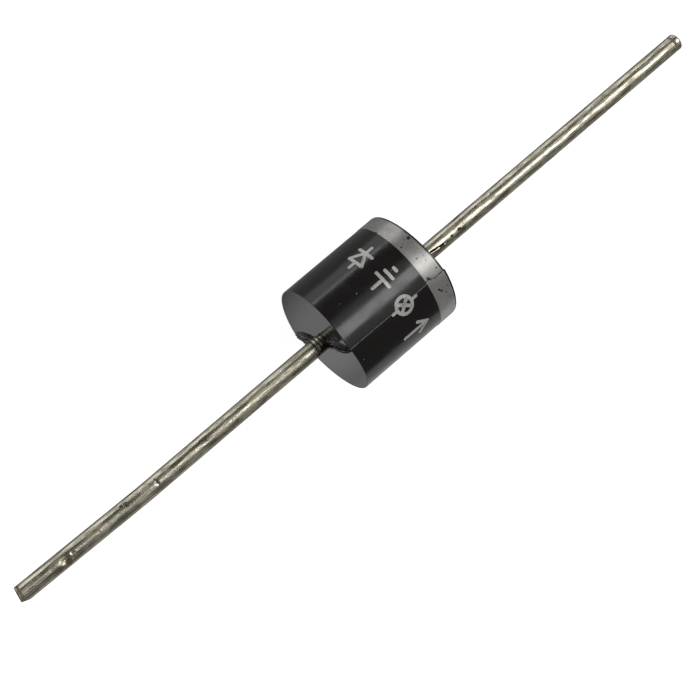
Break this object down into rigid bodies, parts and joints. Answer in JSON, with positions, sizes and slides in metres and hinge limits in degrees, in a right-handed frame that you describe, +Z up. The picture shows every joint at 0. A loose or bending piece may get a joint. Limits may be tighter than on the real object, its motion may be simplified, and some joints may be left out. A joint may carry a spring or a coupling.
{
  "type": "axial rectifier diode",
  "caption": "Axial rectifier diode: short moulded black cylinder with a grey cathode band and a straight tinned wire lead from each end.",
  "frame": {"origin": "centre of the moulded body, halfway between the two wire tips", "axes": "+X along the wires towards the cathode (banded) end; +Z up, along the mould's parting plane"},
  "size_m": [0.062, 0.0086, 0.0086],
  "materials": {
    "moulding_compound": "moulded epoxy, semi-gloss black with polished end faces",
    "tinned_copper": "tin-plated copper wire with fine draw marks, slightly aged",
    "silicon": "polished grey silicon",
    "solder": "dull high-lead solder",
    "silicone_coating": "milky silicone rubber",
    "band_ink": "silver-grey printing ink, satin, with a few pinholes"
  },
  "bodies": {
    "root": {"body": "moulding_compound", "anode_lead": "tinned_copper", "cathode_lead": "tinned_copper", "silicon_die": "silicon", "anode_solder": "solder", "cathode_solder": "solder", "junction_coating": "silicone_coating", "cathode_band": "band_ink"}
  },
  "joints": []
}
